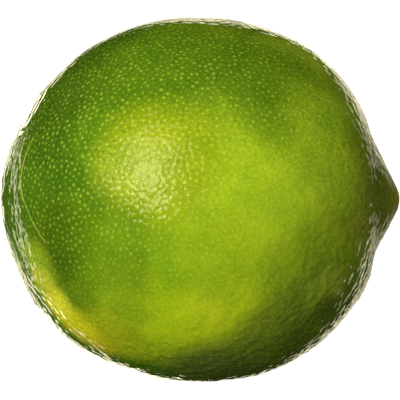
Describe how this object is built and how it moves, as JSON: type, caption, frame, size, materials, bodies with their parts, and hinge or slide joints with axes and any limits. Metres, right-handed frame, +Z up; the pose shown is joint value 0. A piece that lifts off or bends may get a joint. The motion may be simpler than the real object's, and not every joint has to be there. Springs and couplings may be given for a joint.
{
  "type": "lime",
  "caption": "Whole ripe lime as picked, lying on its side, with a blunt nipple at one end and a dry stem scar at the other.",
  "frame": {"origin": "on the small flat spot that the fruit rests on, under its widest ring", "axes": "+X along the fruit's axis, from the stem scar towards the nipple; +Z up, away from the surface it rests on"},
  "size_m": [0.0595, 0.055, 0.0544],
  "materials": {
    "peel": "waxy"
  },
  "bodies": {
    "root": {"lime": "peel"}
  },
  "joints": []
}
